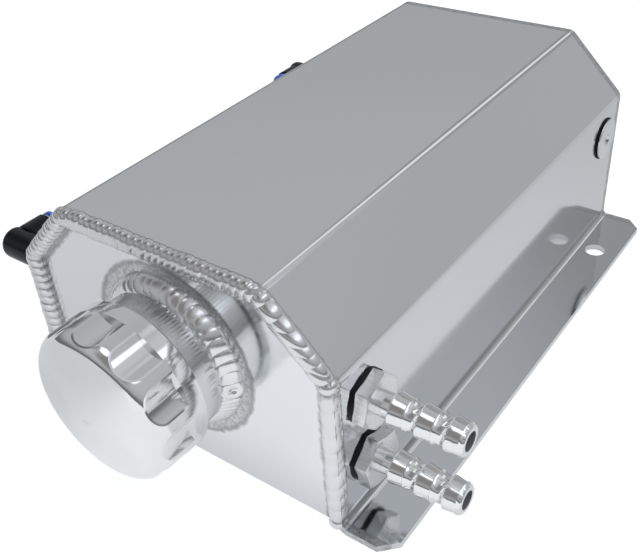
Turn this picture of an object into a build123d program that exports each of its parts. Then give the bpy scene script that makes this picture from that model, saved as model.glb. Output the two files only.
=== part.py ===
"""Coolant expansion tank: folded aluminium shell, screw cap, hose barbs and sight tube.

Millimetres, +Z up. The tank lies on its two mounting flanges. The origin is the centre of
the four mounting holes, on the underside of the flanges. +Y runs along the tank, away from
the filler cap, and the hose barbs stand out on +X.
"""

import math
import os

from build123d import *

# Folded shell
body_width = 130.0
body_length = 214.0
body_height = 86.0
corner_width = 24.0
corner_height = 24.0
sheet = 2.5
bend_inside = 2.0
bend_least = 0.3
flange_width = 18.0
flange_corner = 5.5

# Mounting holes
hole_radius = 4.2
hole_from_wall = 8.4
hole_from_end = 31.0

# End plates and bottom plate
plate = 2.5
plate_gap = 0.1
front_recess = 2.5
rear_recess = 3.0
floor_lift = 0.5

# Weld beads
front_bead_proud = 0.8
front_bead_crown = 1.3
front_bead_round = 1.6
front_bead_leg = 3.0
front_bead_slope = 2.6
rear_bead_leg = 2.4
rear_bead_slope = 1.8
floor_bead_lift = 0.15
floor_bead_width = 3.6
neck_bead_plate_leg = 3.7
neck_bead_neck_leg = 5.0
neck_bead_bulge = 0.7
bead_clear = 0.02

# Filler neck
neck_x = 0.0
neck_z = 45.0
neck_height = 13.8
neck_edge = 0.6
neck_shoulder = 4.5
neck_bore_radius = 17.0
neck_pilot_clear = 0.1
spigot_wall = 3.0
spigot_length = 13.0
spigot_edge = 0.8

# Filler cap and its O-ring
cap_gap = 0.3
cap_length = 24.1
cap_overhang = 2.8
cap_skirt_bevel = 1.9
cap_skirt_height = 1.0
cap_edge_round = 6.0
cap_front_rise = 9.1
cap_thread_clear = 0.3
cap_floor_clear = 0.5
flute_count = 11
flute_radius = 15.0
flute_depth = 1.7
flute_shoulder = 6.4
flute_angle = 24.7
flute_edge = 0.35
cap_seal_section = 1.1
seal_seat_clear = 0.05

# Screwed ports on the right-hand wall
hose_port_from_end = 16.0
hose_port_drop = 15.5
hose_port_spacing = 24.5
drain_port_from_end = 14.6
drain_port_drop = 14.5
port_thread_radius = 6.6
port_thread_clear = 0.05
port_hole_clear = 0.15
port_boss_wall = 2.2
port_boss_length = 8.0

# Hose barbs
barb_seal_overhang = 0.4
barb_seal_thickness = 1.0
hex_flats = 17.0
hex_height = 4.4
hex_face_inset = 0.3
hex_chamfer = 0.9
upper_hex_turn = 15.0
lower_hex_turn = 42.5
barb_shank_length = 11.0
barb_neck_radius = 4.1
barb_neck_length = 4.3
barb_count = 3
barb_pitch = 9.2
barb_crest_radius = 5.45
barb_root_radius = 4.35
barb_shoulder = 0.3
barb_land = 0.5
barb_tip_length = 6.0
barb_tip_edge = 0.35
barb_bore_radius = 3.0

# Drain plug
plug_seal_overhang = 0.3
plug_seal_thickness = 0.8
plug_head_radius = 8.6
plug_head_height = 2.5
plug_head_round = 0.9
plug_shank_length = 10.0
plug_socket_flats = 5.0
plug_socket_depth = 4.2

# Sight tube and the collars that hold it
tube_radius = 3.0
tube_bore_radius = 2.0
tube_clear = 0.08
tube_socket_depth = 1.1
tube_end_gap = 0.1
collar_sleeve_wall = 1.52
collar_sleeve_depth = 4.9
collar_running_clear = 0.15
collar_travel = 1.3
collar_rim_inset = 0.4
collar_rim_length = 1.9
collar_rim_round = 0.7
grip_ring_inset = 0.6
grip_ring_depth = 1.0
grip_ring_proud = 0.6
grip_ring_clear = 0.05
tube_seal_squeeze_gap = 0.015
tube_seal_room = 0.28

# Push-in elbows on the left-hand wall
front_elbow_from_end = 10.8
rear_elbow_from_end = 29.5
elbow_drop = 10.4
elbow_rise = 18.6
sight_boss_wall = 2.5
sight_boss_length = 6.0
stem_thread_radius = 3.0
stem_thread_clear = 0.05
stem_hole_clear = 0.1
stem_thread_length = 8.5
stem_bore_radius = 1.6
stem_hex_flats = 12.0
stem_hex_height = 4.0
stem_hex_face_inset = 0.2
stem_hex_chamfer = 0.5
stem_journal_radius = 4.2
stem_journal_short = 6.6
stem_seal_section = 0.6
stem_seal_recess = 1.25
stem_seal_wall = 0.9
journal_clear = 0.05
elbow_leg_radius = 6.0
elbow_leg_overrun = 6.0
elbow_leg_round = 2.8
elbow_leg_gap = 0.1
passage_radius = 1.9
barrel_wall = 1.75
barrel_core_radius = 5.0
barrel_start = 2.8
barrel_reach = 12.5
barrel_round = 0.7

# Places worked out from the sizes above
bend_outside = bend_inside + sheet
wall_x = body_width / 2
front_end = -body_length / 2
rear_end = body_length / 2
front_face = front_end + front_recess
rear_face = rear_end - rear_recess
hole_spacing_x = body_width + 2 * hole_from_wall
hole_spacing_y = body_length - 2 * hole_from_end
floor_half = wall_x - sheet - plate_gap
floor_top = floor_lift + plate
below_floor = floor_lift - plate
front_toe = sheet + front_bead_leg
rear_toe = sheet + rear_bead_leg
floor_front = front_face + plate + plate_gap
floor_rear = rear_face - plate - plate_gap
shoulder_height = body_height - corner_height
upper_port_z = shoulder_height - hose_port_drop
lower_port_z = upper_port_z - hose_port_spacing
drain_port_z = shoulder_height - drain_port_drop
elbow_z = shoulder_height - elbow_drop
neck_seat = front_face - neck_height
spigot_radius = neck_bore_radius + spigot_wall
neck_radius = spigot_radius + neck_shoulder
cap_back = neck_seat - cap_gap
cap_radius = neck_radius + cap_overhang
port_hole = port_thread_radius + port_hole_clear
port_tapping = port_thread_radius + port_thread_clear
port_boss_radius = port_tapping + port_boss_wall
stem_tapping = stem_thread_radius + stem_thread_clear
sight_boss_radius = stem_tapping + sight_boss_wall
stem_seal_outer = stem_hex_flats / 2 - stem_seal_wall
journal_end = elbow_rise - stem_journal_short
tube_hole = tube_radius + tube_clear
collar_sleeve_radius = tube_hole + collar_sleeve_wall
collar_hole = collar_sleeve_radius + collar_running_clear
tube_seal_section = (collar_hole - tube_radius) / 2 - tube_seal_squeeze_gap
barrel_radius = collar_hole + barrel_wall
grip_ring_radius = barrel_radius - grip_ring_inset
socket_bottom = barrel_reach - collar_sleeve_depth - collar_travel - 2 * tube_seal_section - tube_seal_room
tube_end = socket_bottom - tube_socket_depth

right = Vector(1, 0, 0)
left = Vector(-1, 0, 0)
forward = Vector(0, -1, 0)
backward = Vector(0, 1, 0)
up = Vector(0, 0, 1)

neck_base = Vector(neck_x, front_face, neck_z)
cap_base = Vector(neck_x, cap_back, neck_z)
hose_ports = {
    "upper": (Vector(wall_x, front_end + hose_port_from_end, upper_port_z), upper_hex_turn),
    "lower": (Vector(wall_x, front_end + hose_port_from_end, lower_port_z), lower_hex_turn),
}
drain_port = Vector(wall_x, rear_end - drain_port_from_end, drain_port_z)
elbows = {
    "front": (Vector(-wall_x, front_end + front_elbow_from_end, elbow_z), backward),
    "rear": (Vector(-wall_x, rear_end - rear_elbow_from_end, elbow_z), forward),
}

os.makedirs("parts", exist_ok=True)


def save(part, name):
    """Labels a finished piece and writes it to its own file."""
    part.label = name
    export_step(part, f"parts/{name}.step")


def across(origin, axis, x_dir):
    """The plane across an axis, facing along it."""
    return Plane(origin=origin, x_dir=x_dir, z_dir=axis)


def profile_plane(origin, axis, radial):
    """The plane of a turned profile: local x is the radius and local y runs along the axis."""
    return Plane(origin=origin, x_dir=radial, z_dir=radial.cross(axis))


def cross_plane(y):
    """The plane across the tank at y, facing the cap end: local x is X and local y is Z."""
    return across(Vector(0, y, 0), forward, right)


def wall_plane(port, outward):
    """The plane of a port on a side wall, facing outwards."""
    return across(port, outward, backward)


def tank_section(y, inset, base):
    """The tank's outline at y, facing the cap end, moved inwards by inset and cut off at base."""
    slant = math.hypot(corner_width, corner_height)
    side = wall_x - inset
    top = body_height - inset
    shoulder_x = wall_x - corner_width - inset * (slant - corner_width) / corner_height
    shoulder_z = body_height - corner_height - inset * (slant - corner_height) / corner_width
    with BuildSketch(cross_plane(y)) as section:
        with BuildLine():
            bends = FilletPolyline(
                (-side, base),
                (-side, shoulder_z),
                (-shoulder_x, top),
                (shoulder_x, top),
                (side, shoulder_z),
                (side, base),
                radius=max(bend_outside - inset, bend_least),
            )
            Line(bends @ 1, bends @ 0)
        make_face()
    return section.sketch


def turned(origin, axis, radial, points):
    """A piece turned about an axis from a closed profile of radius and distance along it."""
    with BuildPart() as piece:
        with BuildSketch(profile_plane(origin, axis, radial)):
            with BuildLine():
                Polyline(*points, close=True)
            make_face()
        revolve(axis=Axis(origin, axis))
    return piece.part


def ring(origin, axis, radial, outer, inner, start, length):
    """A plain round ring or bush."""
    points = [(inner, start), (outer, start), (outer, start + length), (inner, start + length)]
    return turned(origin, axis, radial, points)


def o_ring(origin, axis, radial, ring_radius, section, distance):
    """A round-section rubber ring."""
    with BuildPart() as piece:
        with BuildSketch(profile_plane(origin, axis, radial)):
            with Locations((ring_radius, distance)):
                Circle(section)
        revolve(axis=Axis(origin, axis))
    return piece.part


def hex_with_turned_edge(origin, axis, flats, turn, start, height, face_inset, edge):
    """A hexagon whose outer face is turned down to a cone, as on a fitting."""
    corner = flats / math.sqrt(3) + edge
    with BuildPart() as piece:
        with BuildSketch(across(origin + axis * start, axis, backward)):
            RegularPolygon(flats / 2, 6, major_radius=False, rotation=turn)
        extrude(amount=height)
        with BuildSketch(profile_plane(origin, axis, up)):
            with BuildLine():
                Polyline(
                    (0, start),
                    (corner, start),
                    (corner, start + height - edge),
                    (flats / 2 - face_inset, start + height),
                    (0, start + height),
                    close=True,
                )
            make_face()
        revolve(axis=Axis(origin, axis), mode=Mode.INTERSECT)
    return piece.part


# Folded shell: one sheet from flange to flange
with BuildPart() as tank_shell:
    with BuildSketch(cross_plane(rear_end)):
        with BuildLine():
            FilletPolyline(
                (-wall_x - flange_width, sheet),
                (-wall_x, sheet),
                (-wall_x, body_height - corner_height),
                (-wall_x + corner_width, body_height),
                (wall_x - corner_width, body_height),
                (wall_x, body_height - corner_height),
                (wall_x, sheet),
                (wall_x + flange_width, sheet),
                radius=[bend_inside] + [bend_outside] * 4 + [bend_inside],
            )
            offset(amount=sheet, side=Side.RIGHT)
        make_face()
    extrude(amount=body_length)
    tip_x = wall_x + flange_width
    tips = tank_shell.edges().filter_by(Axis.Z).filter_by(lambda edge: abs(edge.center().X) > tip_x - sheet)
    chamfer(tips, length=flange_corner)
    with Locations(Plane.XY.offset(sheet)):
        with GridLocations(hole_spacing_x, hole_spacing_y, 2, 2):
            Hole(hole_radius, depth=sheet)
    for port in [place for place, _ in hose_ports.values()] + [drain_port]:
        with Locations(wall_plane(port, right)):
            Hole(port_hole, depth=sheet)
    for port, _ in elbows.values():
        with Locations(wall_plane(port, left)):
            Hole(stem_thread_radius + stem_hole_clear, depth=sheet)
save(tank_shell.part, "tank_shell")

# Bottom plate, between the walls and the end plates
with BuildPart() as bottom_plate:
    with BuildSketch(Plane.XY.offset(floor_lift)):
        with Locations((0, (floor_front + floor_rear) / 2)):
            Rectangle(2 * floor_half, floor_rear - floor_front)
    extrude(amount=plate)
save(bottom_plate.part, "bottom_plate")

# End plates, let into the ends of the shell
with BuildPart() as front_end_plate:
    extrude(tank_section(front_face + plate, sheet + plate_gap, floor_lift), amount=plate)
    with Locations(across(neck_base, forward, right)):
        Hole(spigot_radius + neck_pilot_clear, depth=plate)
save(front_end_plate.part, "front_end_plate")

with BuildPart() as rear_end_plate:
    extrude(tank_section(rear_face, sheet + plate_gap, floor_lift), amount=plate)
save(rear_end_plate.part, "rear_end_plate")

# Front weld: rolls over the sheet's edge and down into the corner with the plate
with BuildPart() as front_seam_weld:
    extrude(tank_section(front_face, -front_bead_proud, floor_lift), amount=front_recess + front_bead_crown)
    crest = front_seam_weld.faces().sort_by(Axis.Y)[0].edges().sort_by(Axis.Z)[1:]
    fillet(crest, radius=front_bead_round)
    loft(
        [
            tank_section(front_face, front_toe, below_floor),
            tank_section(front_end - front_bead_crown, front_toe - front_bead_slope, below_floor),
        ],
        ruled=True,
        mode=Mode.SUBTRACT,
    )
    add(tank_shell.part, mode=Mode.SUBTRACT)
save(front_seam_weld.part, "front_seam_weld")

# Rear weld: a plain fillet inside the end of the shell
with BuildPart() as rear_seam_weld:
    extrude(tank_section(rear_face + rear_bead_leg, sheet / 2, floor_lift), amount=rear_bead_leg)
    loft(
        [
            tank_section(rear_face + rear_bead_leg, rear_toe - rear_bead_slope, below_floor),
            tank_section(rear_face, rear_toe, below_floor),
        ],
        ruled=True,
        mode=Mode.SUBTRACT,
    )
    add(tank_shell.part, mode=Mode.SUBTRACT)
save(rear_seam_weld.part, "rear_seam_weld")

# Bottom welds: along both bends of the shell and across under both end plates
with BuildPart() as bottom_seam_welds:
    with BuildSketch(cross_plane(rear_face)):
        with BuildLine():
            Polyline(
                (floor_half - floor_bead_width / 2, floor_bead_lift),
                (wall_x + bend_inside / 4, floor_bead_lift),
                (wall_x - sheet / 2, floor_top),
                (floor_half, floor_top),
                (floor_half, floor_lift),
                (floor_half - floor_bead_width / 2, floor_lift),
                close=True,
            )
        make_face()
        mirror(about=Plane.YZ)
    extrude(amount=rear_face - front_face)
    with BuildSketch(Plane.XY.offset(floor_bead_lift)):
        with Locations((0, floor_front - plate_gap / 2), (0, floor_rear + plate_gap / 2)):
            Rectangle(2 * floor_half, floor_bead_width)
    extrude(amount=floor_lift - floor_bead_lift)
    add(tank_shell.part, mode=Mode.SUBTRACT)
save(bottom_seam_welds.part, "bottom_seam_welds")

# Filler neck, turned: pilot in the plate, collar and threaded spigot
neck_points = [
    (neck_bore_radius, -plate),
    (spigot_radius, -plate),
    (spigot_radius, 0),
    (neck_radius, 0),
    (neck_radius, neck_height - neck_edge),
    (neck_radius - neck_edge, neck_height),
    (spigot_radius, neck_height),
    (spigot_radius, neck_height + spigot_length - spigot_edge),
    (spigot_radius - spigot_edge, neck_height + spigot_length),
    (neck_bore_radius, neck_height + spigot_length),
]
save(turned(neck_base, forward, right, neck_points), "filler_neck")

with BuildPart() as neck_weld:
    with BuildSketch(profile_plane(neck_base, forward, right)):
        with BuildLine():
            toe_on_plate = (neck_radius + neck_bead_plate_leg, bead_clear)
            toe_on_neck = (neck_radius + bead_clear, neck_bead_neck_leg)
            root = (neck_radius + bead_clear, bead_clear)
            SagittaArc(toe_on_neck, toe_on_plate, -neck_bead_bulge)
            Polyline(toe_on_plate, root, toe_on_neck)
        make_face()
    revolve(axis=Axis(neck_base, forward))
save(neck_weld.part, "neck_weld")

# Filler cap: turned, with a large rounded front edge, then fluted for grip
cap_bore_radius = spigot_radius + cap_thread_clear
cap_seal_radius = neck_bore_radius + spigot_wall / 2
cap_floor = spigot_length - cap_gap + cap_floor_clear
cap_groove_floor = spigot_length - cap_gap + 2 * cap_seal_section + 2 * seal_seat_clear
cap_side = cap_length - cap_front_rise
knuckle_offset = cap_radius - cap_edge_round
crown_rise = cap_front_rise - cap_edge_round
crown_radius = (knuckle_offset**2 + cap_front_rise**2 - cap_edge_round**2) / (2 * crown_rise)
crown_lean = math.degrees(math.asin(knuckle_offset / (crown_radius - cap_edge_round)))
with BuildPart() as filler_cap:
    with BuildSketch(profile_plane(cap_base, forward, right)):
        with BuildLine():
            knuckle = CenterArc((knuckle_offset, cap_side), cap_edge_round, 0, 90 - crown_lean)
            crown = CenterArc((0, cap_length - crown_radius), crown_radius, 90 - crown_lean, crown_lean)
            Polyline(
                crown @ 1,
                (0, cap_floor),
                (cap_seal_radius - cap_seal_section - seal_seat_clear, cap_floor),
                (cap_seal_radius - cap_seal_section - seal_seat_clear, cap_groove_floor),
                (cap_bore_radius, cap_groove_floor),
                (cap_bore_radius, 0),
                (cap_radius - cap_skirt_bevel, 0),
                (cap_radius, cap_skirt_height),
                knuckle @ 0,
            )
        make_face()
    revolve(axis=Axis(cap_base, forward))
    with BuildSketch(across(cap_base + forward * flute_shoulder, forward, right)):
        with PolarLocations(cap_radius - flute_depth + flute_radius, flute_count, start_angle=flute_angle):
            Circle(flute_radius)
    extrude(amount=cap_length, mode=Mode.SUBTRACT)
    flutes = filler_cap.faces().filter_by(GeomType.CYLINDER).filter_by(lambda face: face.radius == flute_radius)
    flute_rims = flutes.edges().filter_by(lambda edge: edge.center().Y < cap_back - flute_shoulder - flute_edge)
    chamfer(flute_rims, length=flute_edge)
save(filler_cap.part, "filler_cap")

seal_distance = spigot_length - cap_gap + cap_seal_section + seal_seat_clear
save(o_ring(cap_base, forward, right, cap_seal_radius, cap_seal_section, seal_distance), "cap_seal")


def thread_boss(port, inward, outer, thread, length, name):
    """A plain round boss welded inside a side wall."""
    save(ring(port, inward, backward, outer, thread, sheet, length), name)


# Hose barbs, with their flat seals and the bosses inside the wall
def barb_outline():
    """The turned outline of a hose barb, from the tip of its thread to its mouth."""
    hex_end = barb_seal_thickness + hex_height
    points = [(barb_bore_radius, -barb_shank_length), (port_thread_radius, -barb_shank_length)]
    points += [(port_thread_radius, hex_end - hex_height / 2), (barb_neck_radius, hex_end - hex_height / 2)]
    distance = hex_end + barb_neck_length
    points += [(barb_neck_radius, distance)]
    taper = (barb_crest_radius - barb_root_radius) / (barb_pitch - barb_shoulder - barb_land)
    for count in range(barb_count):
        start = distance + count * barb_pitch
        slope_start = start + barb_shoulder + barb_land
        points += [(barb_crest_radius, start + barb_shoulder), (barb_crest_radius, slope_start)]
        if count < barb_count - 1:
            points += [(barb_root_radius, start + barb_pitch)]
    mouth = distance + (barb_count - 1) * barb_pitch + barb_tip_length
    mouth_radius = barb_crest_radius - taper * (mouth - barb_tip_edge - slope_start)
    points += [(mouth_radius, mouth - barb_tip_edge), (mouth_radius - barb_tip_edge, mouth)]
    return points + [(barb_bore_radius, mouth)]


for level, (port, turn) in hose_ports.items():
    with BuildPart() as hose_barb:
        add(
            hex_with_turned_edge(
                port, right, hex_flats, turn, barb_seal_thickness, hex_height, hex_face_inset, hex_chamfer
            )
        )
        add(turned(port, right, up, barb_outline()))
        with Locations(across(port + right * (barb_seal_thickness + hex_height), right, backward)):
            Hole(barb_bore_radius)
    save(hose_barb.part, f"{level}_hose_barb")
    seal_radius = hex_flats / 2 + barb_seal_overhang
    save(ring(port, right, up, seal_radius, port_tapping, 0, barb_seal_thickness), f"{level}_seal_ring")
    thread_boss(port, left, port_boss_radius, port_tapping, port_boss_length, f"{level}_thread_boss")

# Drain plug, with its flat seal and boss
with BuildPart() as drain_plug:
    with BuildSketch(profile_plane(drain_port, right, up)):
        with BuildLine():
            head_top = plug_seal_thickness + plug_head_height
            shoulder = JernArc((plug_head_radius, head_top - plug_head_round), (0, 1), plug_head_round, 90)
            Polyline(
                shoulder @ 1,
                (0, head_top),
                (0, -plug_shank_length),
                (port_thread_radius, -plug_shank_length),
                (port_thread_radius, plug_seal_thickness),
                (plug_head_radius, plug_seal_thickness),
                shoulder @ 0,
            )
        make_face()
    revolve(axis=Axis(drain_port, right))
    with BuildSketch(across(drain_port + right * head_top, right, backward)):
        RegularPolygon(plug_socket_flats / 2, 6, major_radius=False)
    extrude(amount=-plug_socket_depth, mode=Mode.SUBTRACT)
save(drain_plug.part, "drain_plug")
seal_radius = plug_head_radius + plug_seal_overhang
save(ring(drain_port, right, up, seal_radius, port_tapping, 0, plug_seal_thickness), "drain_seal_ring")
thread_boss(drain_port, left, port_boss_radius, port_tapping, port_boss_length, "drain_thread_boss")


# Push-in elbows: screwed stem, swivelling body, grip ring, release collar and tube seal
def elbow_stem(port):
    """The threaded stem of an elbow, with a hexagon and the journal that the body turns on."""
    with BuildPart() as stem:
        add(
            hex_with_turned_edge(
                port, left, stem_hex_flats, 0, 0, stem_hex_height, stem_hex_face_inset, stem_hex_chamfer
            )
        )
        add(
            turned(
                port,
                left,
                up,
                [
                    (0, -stem_thread_length),
                    (stem_thread_radius, -stem_thread_length),
                    (stem_thread_radius, stem_hex_height / 2),
                    (stem_journal_radius, stem_hex_height / 2),
                    (stem_journal_radius, journal_end),
                    (0, journal_end),
                ],
            )
        )
        seal_recess = ring(port, left, up, stem_seal_outer, stem_thread_radius, 0, stem_seal_recess)
        add(seal_recess, mode=Mode.SUBTRACT)
        with Locations(across(port + left * journal_end, left, backward)):
            Hole(stem_bore_radius)
    return stem.part


def elbow_body(port, along):
    """The body of an elbow: a rounded leg about the stem and a barrel along the tube."""
    corner = port + left * elbow_rise
    leg_start = stem_hex_height + elbow_leg_gap
    leg_reach = elbow_rise + elbow_leg_overrun
    journal_hole = stem_journal_radius + journal_clear
    journal_depth = journal_end + elbow_leg_gap
    with BuildPart() as body:
        with BuildSketch(profile_plane(port, left, along)):
            with BuildLine():
                end = JernArc(
                    (elbow_leg_radius, leg_reach - elbow_leg_round), (0, 1), elbow_leg_round, 90
                )
                Polyline(end @ 1, (0, leg_reach), (0, leg_start), (elbow_leg_radius, leg_start), end @ 0)
            make_face()
        revolve(axis=Axis(port, left))
        with BuildSketch(profile_plane(corner, along, left)):
            with BuildLine():
                Polyline(
                    (0, 0),
                    (barrel_core_radius, 0),
                    (barrel_core_radius, barrel_start),
                    (barrel_radius - barrel_round, barrel_start),
                    (barrel_radius, barrel_start + barrel_round),
                    (barrel_radius, barrel_reach - barrel_round / 2),
                    (barrel_radius - barrel_round / 2, barrel_reach),
                    (0, barrel_reach),
                    close=True,
                )
            make_face()
        revolve(axis=Axis(corner, along))
        add(
            turned(
                corner,
                along,
                left,
                [
                    (0, -passage_radius),
                    (passage_radius, -passage_radius),
                    (passage_radius, tube_end - tube_end_gap),
                    (tube_hole, tube_end - tube_end_gap),
                    (tube_hole, socket_bottom),
                    (collar_hole, socket_bottom),
                    (collar_hole, barrel_reach - grip_ring_depth),
                    (grip_ring_radius + grip_ring_clear, barrel_reach - grip_ring_depth),
                    (grip_ring_radius + grip_ring_clear, barrel_reach),
                    (0, barrel_reach),
                ],
            ),
            mode=Mode.SUBTRACT,
        )
        add(
            turned(
                port,
                left,
                up,
                [
                    (0, leg_start),
                    (journal_hole, leg_start),
                    (journal_hole, journal_depth),
                    (stem_bore_radius, journal_depth),
                    (stem_bore_radius, elbow_rise),
                    (0, elbow_rise),
                ],
            ),
            mode=Mode.SUBTRACT,
        )
    return body.part


def release_collar(corner, along):
    """The sliding collar that frees the tube when it is pushed in."""
    sleeve_start = barrel_reach - collar_sleeve_depth
    rim_start = barrel_reach + grip_ring_proud + collar_travel
    rim_end = rim_start + collar_rim_length
    rim_radius = barrel_radius - collar_rim_inset
    return turned(
        corner,
        along,
        left,
        [
            (tube_hole, sleeve_start),
            (collar_sleeve_radius, sleeve_start),
            (collar_sleeve_radius, rim_start),
            (rim_radius, rim_start),
            (rim_radius, rim_end - collar_rim_round),
            (rim_radius - collar_rim_round, rim_end),
            (tube_hole, rim_end),
        ],
    )


for end, (port, along) in elbows.items():
    corner = port + left * elbow_rise
    thread_boss(port, right, sight_boss_radius, stem_tapping, sight_boss_length, f"{end}_sight_boss")
    seal_middle = (stem_thread_radius + stem_seal_outer) / 2
    save(o_ring(port, left, up, seal_middle, stem_seal_section, stem_seal_section), f"{end}_stem_seal")
    save(elbow_stem(port), f"{end}_elbow_stem")
    save(elbow_body(port, along), f"{end}_elbow_body")
    grip_start = barrel_reach - grip_ring_depth
    grip_length = grip_ring_depth + grip_ring_proud
    grip_ring = ring(corner, along, left, grip_ring_radius, collar_hole, grip_start, grip_length)
    save(grip_ring, f"{end}_grip_ring")
    save(release_collar(corner, along), f"{end}_release_collar")
    seal_radius = (tube_radius + collar_hole) / 2
    seal_middle = socket_bottom + tube_seal_section + tube_seal_squeeze_gap
    save(o_ring(corner, along, left, seal_radius, tube_seal_section, seal_middle), f"{end}_tube_seal")

# Sight tube, clear, from elbow to elbow
tube_start = elbows["front"][0] + left * elbow_rise + backward * tube_end
tube_length = (elbows["rear"][0] - elbows["front"][0]).length - 2 * tube_end
save(ring(tube_start, backward, left, tube_radius, tube_bore_radius, 0, tube_length), "sight_tube")
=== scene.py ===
"""Looks of a coolant expansion tank: rolled and polished aluminium, rippled welds and a screw thread.

Metres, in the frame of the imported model: +Y runs along the tank, away from the filler cap,
and the mounting flanges lie on z = 0.
"""

import logging
import math
import random
from collections.abc import Sequence
from dataclasses import dataclass, field, replace
from enum import Enum

import bpy
from mathutils import Matrix, Vector

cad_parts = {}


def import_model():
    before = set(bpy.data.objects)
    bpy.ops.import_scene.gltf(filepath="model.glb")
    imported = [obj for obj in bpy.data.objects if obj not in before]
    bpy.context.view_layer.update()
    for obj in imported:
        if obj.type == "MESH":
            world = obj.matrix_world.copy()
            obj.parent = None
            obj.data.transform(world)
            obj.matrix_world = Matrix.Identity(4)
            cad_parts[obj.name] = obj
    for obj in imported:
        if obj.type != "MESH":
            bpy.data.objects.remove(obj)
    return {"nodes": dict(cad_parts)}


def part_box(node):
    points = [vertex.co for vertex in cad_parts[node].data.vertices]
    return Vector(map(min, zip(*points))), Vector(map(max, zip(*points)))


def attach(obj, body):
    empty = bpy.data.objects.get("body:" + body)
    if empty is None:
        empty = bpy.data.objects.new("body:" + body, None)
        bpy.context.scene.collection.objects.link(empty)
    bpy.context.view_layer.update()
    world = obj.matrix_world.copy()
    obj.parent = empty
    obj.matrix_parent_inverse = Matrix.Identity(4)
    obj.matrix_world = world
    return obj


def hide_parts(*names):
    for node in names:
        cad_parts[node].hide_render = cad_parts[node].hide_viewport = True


MM = 0.001
SEED = 7
log = logging.getLogger("tank")

Colour = tuple[float, float, float]
Point = tuple[float, float]
Marks = tuple[bpy.types.NodeSocket, bpy.types.NodeSocket]

# Between these two values lies most of a noise: the closer they are, the crisper its patches.
WIDE = (0.30, 0.70)
SPREAD = (0.35, 0.65)
NARROW = (0.40, 0.60)


class Grain(Enum):
    """The way that the fine lines of a metal surface run."""

    ALONG_TANK = (900.0, 14.0, 900.0)
    ALL_ROUND = (420.0, 420.0, 420.0)
    ACROSS_FLATS = (160.0, 2600.0, 1500.0)


class Kind(Enum):
    """Which finish a piece of the tank has."""

    SHEET = "sheet"
    END_PLATE = "end_plate"
    TURNED = "turned"
    NECK = "neck"
    FITTING = "fitting"
    SEAM = "seam"
    WELD = "weld"
    RUBBER = "rubber"
    BLACK = "black"
    BLUE = "blue"
    GRIP = "grip"
    TUBE = "tube"


@dataclass(frozen=True)
class TankSizes:
    """Sizes of the tank that the welds, the stains beside them and the fittings follow."""

    half_width: float
    height: float
    front: float
    rear: float
    front_plate: float
    rear_plate: float
    floor: float
    neck_x: float
    neck_z: float
    neck_seat: float
    hose_axes: tuple[Point, ...]
    sheet: float = 2.5 * MM
    corner: float = 24.0 * MM
    nut_height: float = 5.3 * MM
    neck_radius: float = 24.5 * MM
    spigot: float = 13.0 * MM

    @classmethod
    def from_frame(cls) -> "TankSizes":
        """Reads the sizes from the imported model.

        Returns:
            The sizes of the tank in metres.
        """
        shell_low, shell_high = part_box("tank_shell")
        weld_low, weld_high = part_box("front_seam_weld")
        front_low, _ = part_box("front_end_plate")
        _, rear_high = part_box("rear_end_plate")
        neck_low, neck_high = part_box("filler_neck")
        proud = weld_high[2] - shell_high[2]
        barbs = [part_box(node) for node in ("upper_hose_barb", "lower_hose_barb")]
        return cls(
            half_width=weld_high[0] - proud,
            height=shell_high[2],
            front=shell_low[1],
            rear=shell_high[1],
            front_plate=front_low[1],
            rear_plate=rear_high[1],
            floor=weld_low[2],
            neck_x=(neck_low[0] + neck_high[0]) / 2,
            neck_z=(neck_low[2] + neck_high[2]) / 2,
            neck_seat=neck_low[1] + cls.spigot,
            hose_axes=tuple(((low[1] + high[1]) / 2, (low[2] + high[2]) / 2) for low, high in barbs),
        )

    def outline(self, inset: float, foot: float) -> list[Point]:
        """Finds the corners of the tank's outline, moved inwards.

        Args:
            inset: How far inside the sheet's outer face the line runs.
            foot: How far above the floor the line starts and ends.

        Returns:
            Points (x, z) from the foot of the left wall over the top to the foot of the right wall.
        """
        side = self.half_width - inset
        top = self.height - inset
        cut = inset * (math.sqrt(2) - 1)
        shoulder_x = self.half_width - self.corner - cut
        shoulder_z = self.height - self.corner - cut
        return [
            (-side, self.floor + foot),
            (-side, shoulder_z),
            (-shoulder_x, top),
            (shoulder_x, top),
            (side, shoulder_z),
            (side, self.floor + foot),
        ]


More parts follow.
